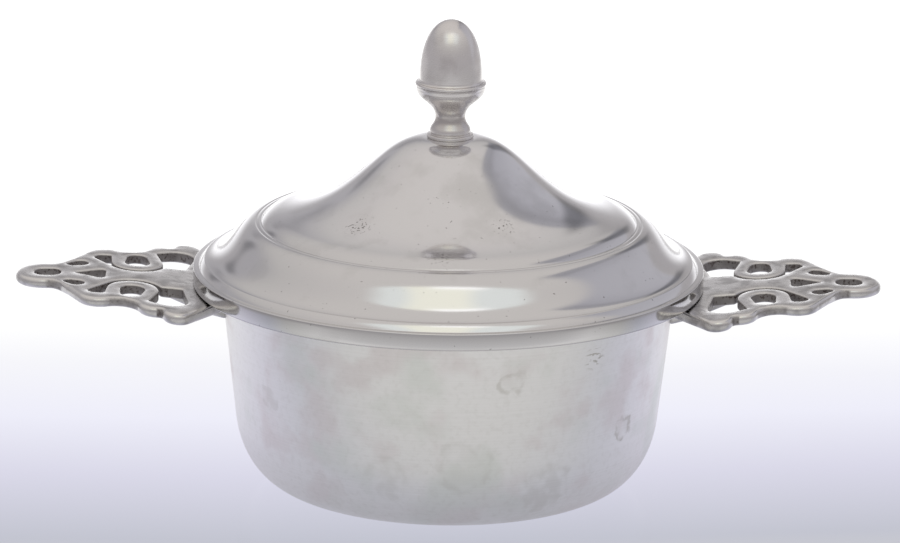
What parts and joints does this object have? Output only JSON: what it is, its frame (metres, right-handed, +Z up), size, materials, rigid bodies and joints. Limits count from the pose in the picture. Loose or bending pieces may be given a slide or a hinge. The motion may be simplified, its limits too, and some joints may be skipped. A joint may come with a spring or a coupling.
{
  "type": "covered porringer",
  "caption": "Round pewter bowl with a flat pierced ear on either side and a domed lift-off cover with an acorn knob.",
  "frame": {"origin": "centre of the flat base, at the middle of the bounding box's underside", "axes": "+Z up along the bowl's axis, +X along the ears, +Y to the back"},
  "size_m": [0.2544, 0.15, 0.1396],
  "materials": {
    "bowl_pewter": "satin pewter, turned and worn",
    "ear_pewter": "cast pewter, dull with dark patina in the piercings",
    "cover_pewter": "polished pewter",
    "finial_pewter": "satin turned pewter",
    "screw_steel": "plain machined steel"
  },
  "bodies": {
    "bowl_body": {"bowl": "bowl_pewter", "ear_right": "ear_pewter", "ear_left": "ear_pewter"},
    "cover_body": {"cover": "cover_pewter", "cover_bezel": "bowl_pewter", "acorn_finial": "finial_pewter", "finial_washer": "screw_steel", "finial_screw": "screw_steel"}
  },
  "joints": [
    {"name": "cover_lift", "type": "slide", "parent": "bowl_body", "child": "cover_body", "axis": [0, 0, 1], "range_m": [0, 0.12]}
  ]
}
